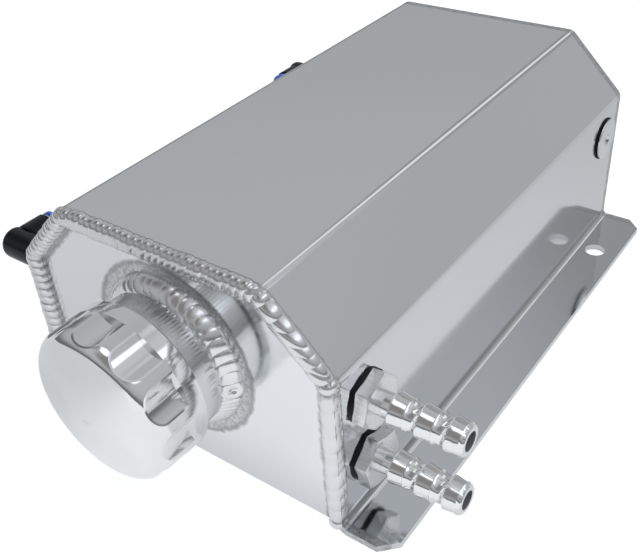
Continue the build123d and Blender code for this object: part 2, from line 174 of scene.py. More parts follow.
class NodeBench:
    """Builds the nodes of one material."""

    def __init__(self, name: str) -> None:
        """Starts a material with a plain Principled shader.

        Args:
            name: The material's name.
        """
        self.material = bpy.data.materials.new(name)
        self.material.use_nodes = True
        self.tree = self.material.node_tree
        self.shader = self.tree.nodes["Principled BSDF"]
        self.place = self.node("ShaderNodeTexCoord").outputs["Object"]

    def node(self, kind: str, **settings: object) -> bpy.types.Node:
        """Adds a node.

        Args:
            kind: The node's type.
            **settings: Properties to set on it.

        Returns:
            The new node.
        """
        node = self.tree.nodes.new(kind)
        for name, value in settings.items():
            setattr(node, name, value)
        return node

    def plug(self, source: object, socket: bpy.types.NodeSocket) -> None:
        """Links a socket to another, or sets a plain value on it.

        Args:
            source: The socket or the value that is given.
            socket: The socket that takes it.
        """
        if isinstance(source, bpy.types.NodeSocket):
            self.tree.links.new(source, socket)
        else:
            socket.default_value = source

    def math(self, operation: str, first: object, second: object = 0.0) -> bpy.types.NodeSocket:
        """Adds one step of arithmetic.

        Args:
            operation: The Math node's operation.
            first: A socket or number.
            second: A socket or number.

        Returns:
            The result's socket.
        """
        node = self.node("ShaderNodeMath", operation=operation)
        self.plug(first, node.inputs[0])
        self.plug(second, node.inputs[1])
        return node.outputs[0]

    def noise(self, scale: Sequence[float], detail: float = 3.0) -> bpy.types.NodeSocket:
        """Adds noise with its own scale along each axis.

        Args:
            scale: Cells per metre along x, y and z.
            detail: How many finer layers it has.

        Returns:
            The socket of the noise's value, about 0.5 on average.
        """
        stretch = self.node("ShaderNodeMapping")
        self.plug(self.place, stretch.inputs["Vector"])
        stretch.inputs["Scale"].default_value = scale
        cells = self.node("ShaderNodeTexNoise")
        self.plug(stretch.outputs["Vector"], cells.inputs["Vector"])
        cells.inputs["Scale"].default_value = 1.0
        cells.inputs["Detail"].default_value = detail
        return cells.outputs["Fac"]

    def ramp(
        self, value: object, start: float, end: float, low: float, high: float
    ) -> bpy.types.NodeSocket:
        """Maps a value from one range to another, clamped.

        Args:
            value: The socket to map.
            start: Where the change starts.
            end: Where the change ends.
            low: The result at the start.
            high: The result at the end.

        Returns:
            The result's socket.
        """
        node = self.node("ShaderNodeMapRange", interpolation_type="SMOOTHSTEP")
        for socket, number in zip(node.inputs, (value, start, end, low, high)):
            self.plug(number, socket)
        return node.outputs["Result"]

    def mix(self, amount: object, first: object, second: object) -> bpy.types.NodeSocket:
        """Mixes two colours.

        Args:
            amount: 0 for the first, 1 for the second.
            first: A colour or socket.
            second: A colour or socket.

        Returns:
            The mixed colour's socket.
        """
        node = self.node("ShaderNodeMix", data_type="RGBA")
        self.plug(amount, node.inputs["Factor"])
        for socket, colour in zip((node.inputs[6], node.inputs[7]), (first, second)):
            self.plug((*colour, 1.0) if isinstance(colour, tuple) else colour, socket)
        return node.outputs[2]

    def blend(self, amount: object, first: object, second: object) -> bpy.types.NodeSocket:
        """Mixes two numbers.

        Args:
            amount: 0 for the first, 1 for the second.
            first: A number or socket.
            second: A number or socket.

        Returns:
            The mixed number's socket.
        """
        node = self.node("ShaderNodeMix", data_type="FLOAT")
        self.plug(amount, node.inputs["Factor"])
        self.plug(first, node.inputs[2])
        self.plug(second, node.inputs[3])
        return node.outputs[0]

    def bump(self, height: object, depth: float) -> None:
        """Presses a height into the shader's normal.

        Args:
            height: The socket of the height.
            depth: How deep it is, in metres.
        """
        node = self.node("ShaderNodeBump")
        node.inputs["Distance"].default_value = depth
        node.inputs["Strength"].default_value = 1.0
        self.plug(height, node.inputs["Height"])
        self.plug(node.outputs["Normal"], self.shader.inputs["Normal"])

    def set(self, **values: object) -> None:
        """Sets plain values or links on the shader.

        Args:
            **values: What each socket takes, by the socket's name with _ for spaces.
        """
        for name, value in values.items():
            socket = self.shader.inputs[name.replace("_", " ")]
            if isinstance(value, tuple) and len(value) == 3:
                value = (*value, 1.0)
            self.plug(value, socket)

    def separate(self) -> tuple[bpy.types.NodeSocket, ...]:
        """Splits the surface point.

        Returns:
            The sockets of its x, y and z.
        """
        node = self.node("ShaderNodeSeparateXYZ")
        self.plug(self.place, node.inputs[0])
        return tuple(node.outputs)


@dataclass(frozen=True)
class Metal:
    """A bare metal surface with fine lines."""

    name: str
    colour: Colour
    smooth: float
    rough: float
    grain: Grain = Grain.ALL_ROUND
    grain_depth: float = 2e-6
    patchiness: float = 0.07

    def start(self) -> tuple[NodeBench, bpy.types.NodeSocket]:
        """Lays the metal's colour, grain and uneven sheen.

        Returns:
            The bench and the socket of the roughness.
        """
        bench = NodeBench(self.name)
        bench.set(Metallic=1.0)
        lines = bench.noise(self.grain.value, 4.0)
        clouds = bench.noise((18.0, 18.0, 18.0), 2.0)
        uneven = bench.math("ADD", bench.math("MULTIPLY", lines, 0.5), bench.math("MULTIPLY", clouds, 0.5))
        sheen = bench.ramp(uneven, *SPREAD, self.smooth, self.rough)
        bench.bump(lines, self.grain_depth)
        return bench, sheen

    def material(self) -> bpy.types.Material:
        """Makes the material.

        Returns:
            The finished material.
        """
        bench, sheen = self.start()
        clouds = bench.noise((30.0, 30.0, 30.0), 3.0)
        darker = tuple(channel * (1.0 - self.patchiness) for channel in self.colour)
        patchy = bench.mix(bench.ramp(clouds, *SPREAD, 0.0, 1.0), self.colour, darker)
        bench.set(Base_Color=patchy, Roughness=sheen)
        return bench.material


@dataclass(frozen=True)
class StainedSheet(Metal):
    """Sheet metal that welding has etched beside each bead: pale and mottled, with a dark rim.

    The reaches say how far the pale bands go: inwards along an end plate's seam, outwards from
    the neck's axis, and along the shell from its ends. On the shell, painted shade darkens the wall
    just above each flange's fold.
    """

    tank: TankSizes | None = None
    neck_ring: bool = False
    etched: Colour = (0.50, 0.505, 0.51)
    etched_roughness: float = 0.40
    # The rim's stain colour, which on the shell also paints the shade over each flange's fold.
    stain_and_fold_shade: Colour = (0.36, 0.365, 0.37)
    stain_and_shade_strength: float = 0.72
    mottling: Point = (0.55, 1.0)
    raggedness: float = 2.4 * MM
    band_edge: Point = (-0.5 * MM, 0.3 * MM)
    rim_edge: Point = (0.2 * MM, 1.4 * MM)
    rim_inset: float = 0.3 * MM
    seam_reach: float = 7.4 * MM
    neck_reach: float = 32.6 * MM
    shell_reach: float = 3.2 * MM
    shell_rim: float = 0.35
    # Painted shade over each flange's fold: where it starts and ends above the sheet, and how dark.
    shade_fold_starts: Point = (0.1 * MM, 0.9 * MM)
    shade_fold_ends: Point = (2.0 * MM, 4.6 * MM)
    fold_shade_strength: float = 0.9

    def seam_inset(self, bench: NodeBench) -> bpy.types.NodeSocket:
        """Measures how far a point of an end plate is inside the tank's outline.

        Args:
            bench: The material's bench.

        Returns:
            The distance's socket.
        """
        tank = self.tank
        x, _, z = bench.separate()
        side = bench.math("SUBTRACT", tank.half_width, bench.math("ABSOLUTE", x))
        top = bench.math("SUBTRACT", tank.height, z)
        reach = tank.half_width + tank.height - tank.corner
        slope = bench.math("SUBTRACT", bench.math("SUBTRACT", reach, bench.math("ABSOLUTE", x)), z)
        slope = bench.math("MULTIPLY", slope, math.sqrt(0.5))
        return bench.math("MINIMUM", bench.math("MINIMUM", side, top), slope)

    def neck_distance(self, bench: NodeBench) -> bpy.types.NodeSocket:
        """Measures how far a point of an end plate is from the neck's axis.

        Args:
            bench: The material's bench.

        Returns:
            The distance's socket.
        """
        x, _, z = bench.separate()
        flat = bench.node("ShaderNodeCombineXYZ")
        bench.plug(x, flat.inputs[0])
        bench.plug(z, flat.inputs[2])
        span = bench.node("ShaderNodeVectorMath", operation="DISTANCE")
        bench.plug(flat.outputs[0], span.inputs[0])
        span.inputs[1].default_value = (self.tank.neck_x, 0.0, self.tank.neck_z)
        return span.outputs["Value"]

    def edge_distance(self, bench: NodeBench) -> bpy.types.NodeSocket:
        """Measures how far a point of the shell is from its nearer end.

        Args:
            bench: The material's bench.

        Returns:
            The distance's socket.
        """
        _, y, _ = bench.separate()
        front = bench.math("SUBTRACT", y, self.tank.front)
        rear = bench.math("SUBTRACT", self.tank.rear, y)
        return bench.math("MINIMUM", front, rear)

    def band(self, bench: NodeBench, distance: object, ragged: object, reach: float) -> Marks:
        """Marks the etched band and its rim.

        Args:
            bench: The material's bench.
            distance: The socket of the distance from the weld.
            ragged: The socket that makes the edge uneven.
            reach: How far the band reaches, in metres.

        Returns:
            The sockets of the band and of the rim.
        """
        uneven = bench.math("ADD", distance, ragged)
        edge = [reach + step for step in self.band_edge]
        inside = bench.ramp(uneven, *edge, 1.0, 0.0)
        offset = bench.math("ABSOLUTE", bench.math("SUBTRACT", uneven, reach - self.rim_inset))
        return inside, bench.ramp(offset, *self.rim_edge, 1.0, 0.0)

    def plate_marks(self, bench: NodeBench, ragged: object) -> Marks:
        """Marks the band along an end plate's seam and, on the front plate, the one round the neck.

        Args:
            bench: The material's bench.
            ragged: The socket that makes the edges uneven.

        Returns:
            The sockets of the bands and of their rims.
        """
        inside, rim = self.band(bench, self.seam_inset(bench), ragged, self.seam_reach)
        ring, ring_rim = self.band(bench, self.neck_distance(bench), ragged, self.neck_reach)
        _, y, _ = bench.separate()
        forward = bench.ramp(y, -10.0 * MM, 10.0 * MM, 1.0, 0.0)
        inside = bench.math("MAXIMUM", inside, bench.math("MULTIPLY", ring, forward))
        rim = bench.math("MAXIMUM", rim, bench.math("MULTIPLY", ring_rim, forward))
        return inside, rim

    def shell_marks(self, bench: NodeBench, ragged: object) -> Marks:
        """Marks the bands at the shell's ends and the painted shade over the fold of each flange.

        Args:
            bench: The material's bench.
            ragged: The socket that makes the edges uneven.

        Returns:
            The sockets of the bands, and of their rims with the painted shade over the folds.
        """
        inside, rim = self.band(bench, self.edge_distance(bench), ragged, self.shell_reach)
        rim = bench.math("MULTIPLY", rim, self.shell_rim)
        _, _, z = bench.separate()
        # Painted shade: the wall darkens just above each flange's fold, where the bend shades it.
        starts = [self.tank.sheet + rise for rise in self.shade_fold_starts]
        ends = [self.tank.sheet + rise for rise in self.shade_fold_ends]
        above = bench.ramp(z, *starts, 0.0, 1.0)
        below = bench.ramp(z, *ends, self.fold_shade_strength, 0.0)
        return inside, bench.math("MAXIMUM", rim, bench.math("MULTIPLY", above, below))

    def material(self) -> bpy.types.Material:
        """Makes the material, with its etched bands.

        Returns:
            The finished material.
        """
        bench, sheen = self.start()
        shakes = bench.noise((330.0, 330.0, 330.0), 4.0)
        ragged = bench.math("MULTIPLY", bench.math("SUBTRACT", shakes, 0.5), self.raggedness)
        marks = self.plate_marks if self.neck_ring else self.shell_marks
        inside, rim = marks(bench, ragged)
        specks = bench.noise((700.0, 700.0, 700.0), 3.0)
        mottle = bench.ramp(specks, 0.42, 0.60, *self.mottling)
        etching = bench.math("MULTIPLY", inside, mottle)
        pale = bench.mix(etching, self.colour, self.etched)
        # On the shell the rim also carries the painted shade over the flange folds.
        bench.set(
            Base_Color=bench.mix(bench.math("MULTIPLY", rim, self.stain_and_shade_strength), pale, self.stain_and_fold_shade),
            Roughness=bench.blend(etching, sheen, self.etched_roughness),
        )
        return bench.material


@dataclass(frozen=True)
class Fitting(Metal):
    """A turned fitting whose nut is brushed across its flats and whose bore has painted light: a pale,
    hardly metallic colour in place of the light reflected inside it.
    """

    nut_end: float = 0.0
    axes: tuple[Point, ...] = ()
    bore: float = 3.1 * MM
    bore_painted_light: Colour = (0.32, 0.32, 0.33)
    stroke_depth: float = 2.5e-5
    stroke_shade: float = 0.88
    nut_roughness: float = 0.30

    def inside_bore(self, bench: NodeBench) -> bpy.types.NodeSocket:
        """Tells the bores of the hose tails from the rest.

        Args:
            bench: The material's bench.

        Returns:
            A socket that gives 1 inside the bores and 0 outside.
        """
        _, y, z = bench.separate()
        place = bench.node("ShaderNodeCombineXYZ")
        bench.plug(y, place.inputs[0])
        bench.plug(z, place.inputs[1])
        nearest = 1.0
        for axis in self.axes:
            span = bench.node("ShaderNodeVectorMath", operation="DISTANCE")
            bench.plug(place.outputs[0], span.inputs[0])
            span.inputs[1].default_value = (*axis, 0.0)
            nearest = bench.math("MINIMUM", nearest, span.outputs["Value"])
        return bench.ramp(nearest, self.bore, self.bore + 0.2 * MM, 1.0, 0.0)

    def material(self) -> bpy.types.Material:
        """Makes the material.

        Returns:
            The finished material.
        """
        bench, sheen = self.start()
        x, _, _ = bench.separate()
        nut = bench.ramp(x, self.nut_end, self.nut_end + 0.3 * MM, 1.0, 0.0)
        strokes = bench.noise(Grain.ACROSS_FLATS.value, 3.0)
        bench.bump(bench.math("MULTIPLY", strokes, nut), self.stroke_depth)
        worn = tuple(channel * self.stroke_shade for channel in self.colour)
        brushed = bench.math("MULTIPLY", bench.ramp(strokes, *NARROW, 0.0, 1.0), nut)
        # Painted light: the bore takes a pale, hardly metallic colour in place of the light reflected
        # inside it.
        painted_bore_mask = self.inside_bore(bench)
        bench.set(
            Base_Color=bench.mix(painted_bore_mask, bench.mix(brushed, self.colour, worn), self.bore_painted_light),
            Roughness=bench.blend(nut, sheen, self.nut_roughness),
            Metallic=bench.math("SUBTRACT", 1.0, bench.math("MULTIPLY", painted_bore_mask, 0.9)),
        )
        return bench.material


@dataclass(frozen=True)
class Moulded:
    """Moulded plastic or rubber."""

    name: str
    colour: Colour
    roughness: float
    grain_depth: float = 4e-6
    gloss: float = 0.5

    def material(self) -> bpy.types.Material:
        """Makes the material.

        Returns:
            The finished material.
        """
        bench = NodeBench(self.name)
        specks = bench.noise((900.0, 900.0, 900.0), 4.0)
        clouds = bench.noise((60.0, 60.0, 60.0), 2.0)
        paler = tuple(min(1.0, channel * 1.25 + 0.003) for channel in self.colour)
        bench.set(
            Base_Color=bench.mix(bench.ramp(clouds, *WIDE, 0.0, 1.0), self.colour, paler),
            Roughness=bench.ramp(specks, *WIDE, self.roughness * 0.85, self.roughness * 1.15),
            Specular_IOR_Level=self.gloss,
        )
        bench.bump(specks, self.grain_depth)
        return bench.material


@dataclass(frozen=True)
class ClearTube:
    """Clear plastic tube, slightly wavy along its length."""

    name: str
    colour: Colour = (0.90, 0.96, 0.98)
    refraction: float = 1.49
    wave_depth: float = 2e-5

    def material(self) -> bpy.types.Material:
        """Makes the material.

        Returns:
            The finished material.
        """
        bench = NodeBench(self.name)
        waves = bench.noise((40.0, 9.0, 40.0), 2.0)
        bench.set(
            Base_Color=self.colour,
            Roughness=bench.ramp(waves, *WIDE, 0.03, 0.09),
            Transmission_Weight=1.0,
            IOR=self.refraction,
        )
        bench.bump(waves, self.wave_depth)
        return bench.material


class FinishRack:
    """The finishes of the tank, each made once."""

    def __init__(self, tank: TankSizes) -> None:
        """Makes every finish.

        Args:
            tank: The tank's sizes, for the stains beside the welds and for the nuts.
        """
        nut_end = tank.half_width + tank.nut_height
        makers = {
            Kind.SHEET: StainedSheet(
                "rolled_aluminium", (0.755, 0.772, 0.785), 0.07, 0.12, Grain.ALONG_TANK, tank=tank
            ),
            Kind.END_PLATE: StainedSheet(
                "polished_plate", (0.825, 0.84, 0.855), 0.09, 0.15, tank=tank, neck_ring=True
            ),
            Kind.TURNED: Metal("turned_aluminium", (0.86, 0.865, 0.87), 0.05, 0.08, grain_depth=1e-6),
            Kind.NECK: Metal("neck_aluminium", (0.80, 0.805, 0.81), 0.20, 0.27),
            Kind.FITTING: Fitting(
                "bright_fitting", (0.86, 0.865, 0.87), 0.07, 0.13, nut_end=nut_end, axes=tank.hose_axes
            ),
            Kind.SEAM: Metal("seam_bead", (0.79, 0.79, 0.80), 0.17, 0.30, grain_depth=1.0e-5),
            Kind.WELD: Metal("weld_bead", (0.84, 0.84, 0.85), 0.12, 0.26, grain_depth=1.0e-5),
            Kind.RUBBER: Moulded("black_rubber", (0.006, 0.006, 0.007), 0.5, gloss=0.25),
            Kind.BLACK: Moulded("black_plastic", (0.004, 0.005, 0.006), 0.24, gloss=0.25),
            Kind.BLUE: Moulded("blue_plastic", (0.085, 0.25, 1.0), 0.3),
            Kind.GRIP: Metal("grip_steel", (0.62, 0.63, 0.65), 0.18, 0.3),
            Kind.TUBE: ClearTube("clear_tube"),
        }
        self.materials = {kind: maker.material() for kind, maker in makers.items()}

    def dress(self, piece: bpy.types.Object, kind: Kind) -> None:
        """Puts a finish on every material slot of a piece.

        Args:
            piece: The piece.
            kind: Which finish it has.
        """
        if not piece.material_slots:
            piece.data.materials.append(None)
        for slot in piece.material_slots:
            slot.material = self.materials[kind]


def clear_selection() -> None:
    """Deselects everything."""
    bpy.ops.object.select_all(action="DESELECT")


def clear_points() -> None:
    """Deselects every point, edge and face of the active piece."""
    bpy.ops.object.mode_set(mode="EDIT")
    bpy.ops.mesh.select_all(action="DESELECT")
    bpy.ops.object.mode_set(mode="OBJECT")


def settle(piece: bpy.types.Object) -> None:
    """Moves a piece's place, turn and scale into its mesh.

    Args:
        piece: The piece.
    """
    clear_selection()
    piece.select_set(True)
    bpy.context.view_layer.objects.active = piece
    bpy.ops.object.transform_apply(location=True, rotation=True, scale=True)


def joined(pieces: Sequence[bpy.types.Object], name: str) -> bpy.types.Object:
    """Joins pieces into one.

    Args:
        pieces: The pieces, each with its own mesh.
        name: The name of the whole.

    Returns:
        The joined piece, shaded smooth.
    """
    clear_selection()
    for piece in pieces:
        piece.select_set(True)
    bpy.context.view_layer.objects.active = pieces[0]
    bpy.ops.object.join()
    whole = bpy.context.view_layer.objects.active
    whole.name = name
    settle(whole)
    bpy.ops.object.shade_smooth()
    return whole


@dataclass(frozen=True)
class Ripple:
    """One ripple of a weld: its half sizes, its lean and turn, and the step to the next."""

    along: float
    across: float
    height: float
    lean: float
    turn: float
    pitch: float

    def halves(self) -> tuple[float, float, float]:
        """Returns its half sizes along, across and off the metal."""
        return self.along, self.across, self.height


@dataclass(frozen=True)
class Station:
    """A place on a weld: where a ripple sits, how it faces and its shape."""

    place: Vector
    along: Vector
    outward: Vector
    ripple: Ripple


@dataclass
class WeldRun:
    """A weld bead built ripple by ripple, as a welder lays it."""

    name: str
    stations: list[Station]
    replaced: str
    seed: int
    jitter: float = 0.06
    sway: float = math.radians(5.0)
    crater: bool = False

    @staticmethod
    def drop() -> bpy.types.Object:
        """Models one drop of filler: a ball flattened underneath, with x along the weld.

        Returns:
            The drop, one unit in radius.
        """
        clear_selection()
        bpy.ops.mesh.primitive_uv_sphere_add(segments=24, ring_count=14, radius=1.0)
        drop = bpy.context.object
        bpy.ops.object.mode_set(mode="EDIT")
        bpy.ops.mesh.select_all(action="SELECT")
        bpy.ops.mesh.bisect(
            plane_co=(0.0, 0.0, -0.35), plane_no=(0.0, 0.0, -1.0), use_fill=True, clear_outer=True
        )
        bpy.ops.object.mode_set(mode="OBJECT")
        return drop

    @classmethod
    def crater_drop(cls) -> bpy.types.Object:
        """Models the last drop of a weld, with the dimple where the arc went out.

        Returns:
            The drop, one unit in radius.
        """
        drop = cls.drop()
        top = max(vertex.co.z for vertex in drop.data.vertices)
        clear_points()
        for vertex in drop.data.vertices:
            vertex.select = vertex.co.z > top - 1e-4
        bpy.ops.object.mode_set(mode="EDIT")
        bpy.ops.transform.translate(
            value=(0.0, 0.0, -0.8),
            use_proportional_edit=True,
            proportional_edit_falloff="SMOOTH",
            proportional_size=0.5,
        )
        bpy.ops.object.mode_set(mode="OBJECT")
        return drop

    def build(self) -> bpy.types.Object:
        """Lays the drops along the weld, each leaning on the one before.

        Returns:
            The whole bead.
        """
        chance = random.Random(self.seed)
        plain = self.drop()
        models = [plain] * len(self.stations)
        if self.crater:
            models[-1] = self.crater_drop()
        laid = []
        for station, model in zip(self.stations, models):
            drop = model.copy()
            drop.data = model.data.copy()
            bpy.context.collection.objects.link(drop)
            across = station.outward.cross(station.along).normalized()
            facing = Matrix((station.along, across, station.outward)).transposed().to_4x4()
            shape = station.ripple
            size = [half * (1.0 + chance.uniform(-self.jitter, self.jitter)) for half in shape.halves()]
            turn = Matrix.Rotation(shape.turn + chance.uniform(-self.sway, self.sway), 4, "Z")
            lean = Matrix.Rotation(shape.lean, 4, "Y")
            placed = Matrix.Translation(station.place) @ facing
            drop.matrix_world = placed @ turn @ lean @ Matrix.Diagonal((*size, 1.0))
            laid.append(drop)
        for model in set(models):
            bpy.data.objects.remove(model)
        bead = joined(laid, self.name)
        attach(bead, "root")
        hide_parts(self.replaced)
        log.info("%s: %d ripples", self.name, len(laid))
        return bead


@dataclass(frozen=True)
class Stretch:
    """A straight or bent stretch of a seam. A bent one has the centre of its bend."""

    length: float
    start: Vector
    end: Vector
    centre: Vector | None
    ripple: Ripple


@dataclass
class SeamPath:
    """The path of the weld round an end of the tank, with bent corners.

    A ripple faces along the tank, forwards where facing is -1, and sideways as far as splay says.
    Near a bend it is no longer than corner_reach, and it gains length with its distance from it.
    """

    corners: list[Point]
    ripples: list[Ripple]
    y: float
    bend: float
    facing: float
    splay: float
    corner_reach: float = 3.0 * MM
    gain: float = 0.6

    def stretches(self) -> list[Stretch]:
        """Cuts the path into straight stretches and bends.

        Returns:
            The stretches in order.
        """
        points = [Vector((x, 0.0, z)) for x, z in self.corners]
        half_turn = math.radians(22.5)
        cut = self.bend * math.tan(half_turn)
        found = []
        start = points[0]
        for corner, (before, point, after) in enumerate(zip(points, points[1:], points[2:])):
            arriving = (point - before).normalized()
            leaving = (after - point).normalized()
            stop = point - arriving * cut
            begin = point + leaving * cut
            middle = point + (leaving - arriving).normalized() * self.bend / math.cos(half_turn)
            found.append(Stretch((stop - start).length, start, stop, None, self.ripples[corner]))
            found.append(Stretch(self.bend * 2 * half_turn, stop, begin, middle, self.ripples[corner]))
            start = begin
        found.append(Stretch((points[-1] - start).length, start, points[-1], None, self.ripples[-1]))
        return found

    def stations(self) -> list[Station]:
        """Places ripples along the path, in the order that they are welded.

        Returns:
            The stations in order.
        """
        found = []
        walked = 0.0
        for stretch in self.stretches():
            while walked < stretch.length:
                found.append(self.station(stretch, walked))
                walked += stretch.ripple.pitch
            walked -= stretch.length
        return found

    def station(self, stretch: Stretch, walked: float) -> Station:
        """Places one ripple.

        Args:
            stretch: The stretch that it lies on.
            walked: How far along the stretch it lies.

        Returns:
            The station.
        """
        share = walked / stretch.length
        if stretch.centre is None:
            place = stretch.start.lerp(stretch.end, share)
            along = (stretch.end - stretch.start).normalized()
            room = min(walked, stretch.length - walked)
        else:
            first = (stretch.start - stretch.centre).normalized()
            spoke = first.slerp((stretch.end - stretch.centre).normalized(), share)
            place = stretch.centre + spoke * self.bend
            along = Vector((-spoke.z, 0.0, spoke.x))
            room = 0.0
        longest = self.corner_reach + self.gain * room
        fitted = replace(stretch.ripple, along=min(stretch.ripple.along, longest))
        side = Vector((along.z, 0.0, -along.x))
        outward = (side * self.splay + Vector((0.0, self.facing, 0.0))).normalized()
        return Station(place + Vector((0.0, self.y, 0.0)), along, outward, fitted)


@dataclass
class Welds:
    """The welds of the tank.

    The front seam rolls over the edge of the shell and the rear fillet lies inside it. The neck's
    weld starts cold, in short ripples, runs warm in long ones and ends in a crater. Its sweeps
    are in degrees.
    """

    tank: TankSizes
    rack: FinishRack
    seam_across: float = 3.2 * MM
    seam_height: float = 3.4 * MM
    seam_inset: float = 2.6 * MM
    seam_foot: float = 2.8 * MM
    seam_bend: float = 2.0 * MM
    seam_proud: float = 0.6 * MM
    fillet_inset: float = 3.6 * MM
    fillet_foot: float = 2.2 * MM
    fillet_bend: float = 1.0 * MM
    fillet_proud: float = 0.8 * MM
    neck_proud: float = 2.0 * MM
    neck_gap: float = 1.4 * MM
    neck_start: float = -14.0
    neck_sweep: float = 351.5
    cold_sweep: float = 75.0
    cold_count: int = 15
    warm_count: int = 34
    late_count: int = 9

    def seam_ripple(self, along: float, lean: float, turn: float, pitch: float) -> Ripple:
        """Shapes a ripple of the front seam.

        Args:
            along: Half its length, in millimetres.
            lean: How far it leans back, in degrees.
            turn: How far it is slanted, in degrees.
            pitch: The step to the next, in millimetres.

        Returns:
            The ripple.
        """
        tilts = (math.radians(lean), math.radians(turn))
        return Ripple(along * MM, self.seam_across, self.seam_height, *tilts, pitch * MM)

    def front_seam(self) -> None:
        """Lays the weld that rolls over the front edge of the shell, up the right wall first."""
        ripples = [
            self.seam_ripple(8.0, 5.0, 0.0, 5.2),
            self.seam_ripple(8.6, 5.0, 15.0, 3.6),
            self.seam_ripple(5.2, 8.0, 38.0, 2.7),
            self.seam_ripple(2.9, 12.0, 6.0, 2.8),
            self.seam_ripple(4.0, 11.0, 28.0, 3.2),
        ]
        corners = self.tank.outline(self.seam_inset, self.seam_foot)[::-1]
        y = self.tank.front_plate - self.seam_proud
        path = SeamPath(corners, ripples, y, self.seam_bend, facing=-1.0, splay=0.0)
        bead = WeldRun("front_weld_bead", path.stations(), "front_seam_weld", SEED).build()
        self.rack.dress(bead, Kind.SEAM)

    def rear_seam(self) -> None:
        """Lays the fillet weld inside the rear end of the shell."""
        ripple = Ripple(2.3 * MM, 2.5 * MM, 1.3 * MM, math.radians(12.0), 0.0, 2.4 * MM)
        corners = self.tank.outline(self.fillet_inset, self.fillet_foot)[::-1]
        y = self.tank.rear_plate + self.fillet_proud
        path = SeamPath(corners, [ripple] * 5, y, self.fillet_bend, facing=1.0, splay=-0.9)
        bead = WeldRun("rear_weld_bead", path.stations(), "rear_seam_weld", SEED + 1).build()
        self.rack.dress(bead, Kind.WELD)

    def neck(self) -> None:
        """Lays the weld round the filler neck, from a cold start to the crater where it ends."""
        cold = Ripple(2.3 * MM, 4.3 * MM, 1.3 * MM, math.radians(14.0), math.radians(14.0), 0.0)
        warm = Ripple(5.8 * MM, 4.6 * MM, 1.6 * MM, math.radians(4.5), 0.0, 0.0)
        late = Ripple(5.0 * MM, 4.6 * MM, 1.9 * MM, math.radians(10.0), 0.0, 0.0)
        last = Ripple(4.6 * MM, 4.9 * MM, 2.5 * MM, 0.0, 0.0, 0.0)
        cold_step = self.cold_sweep / self.cold_count
        warm_step = (self.neck_sweep - self.cold_sweep) / self.warm_count
        laid = [(cold_step * count, cold) for count in range(self.cold_count)]
        kinds = [warm] * (self.warm_count - self.late_count) + [late] * self.late_count
        laid += [(self.cold_sweep + warm_step * count, kind) for count, kind in enumerate(kinds)]
        laid.append((self.neck_sweep, last))
        middle = Vector((self.tank.neck_x, self.tank.front_plate - self.neck_proud, self.tank.neck_z))
        radius = self.tank.neck_radius + self.neck_gap
        stations = []
        for turned, ripple in laid:
            angle = math.radians(self.neck_start - turned)
            spoke = Vector((math.cos(angle), 0.0, math.sin(angle)))
            along = Vector((math.sin(angle), 0.0, -math.cos(angle)))
            outward = (spoke * 0.80 + Vector((0.0, -0.60, 0.0))).normalized()
            stations.append(Station(middle + spoke * radius, along, outward, ripple))
        bead = WeldRun("neck_weld_bead", stations, "neck_weld", SEED + 2, crater=True).build()
        self.rack.dress(bead, Kind.WELD)


def merged_copy(piece: bpy.types.Object, name: str) -> bpy.types.Object:
    """Copies a carried-over piece and merges its doubled points.

    Args:
        piece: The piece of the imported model.
        name: The copy's name.

    Returns:
        The copy, selected and active.
    """
    clear_selection()
    twin = bpy.data.objects.new(name, piece.data.copy())
    bpy.context.collection.objects.link(twin)
    twin.select_set(True)
    bpy.context.view_layer.objects.active = twin
    bpy.ops.object.mode_set(mode="EDIT")
    bpy.ops.mesh.select_all(action="SELECT")
    bpy.ops.mesh.remove_doubles(threshold=1e-6)
    bpy.ops.object.mode_set(mode="OBJECT")
    return twin


def evenly_shaded(piece: bpy.types.Object, sharpest: float = 30.0) -> None:
    """Shades the selected piece smooth between its sharp edges.

    Args:
        piece: The piece, selected and active.
        sharpest: From what angle an edge is sharp, in degrees.
    """
    bpy.ops.object.shade_smooth_by_angle(angle=math.radians(sharpest))
    even = piece.modifiers.new("even_shading", "WEIGHTED_NORMAL")
    even.keep_sharp = True
    bpy.ops.object.modifier_apply(modifier=even.name)


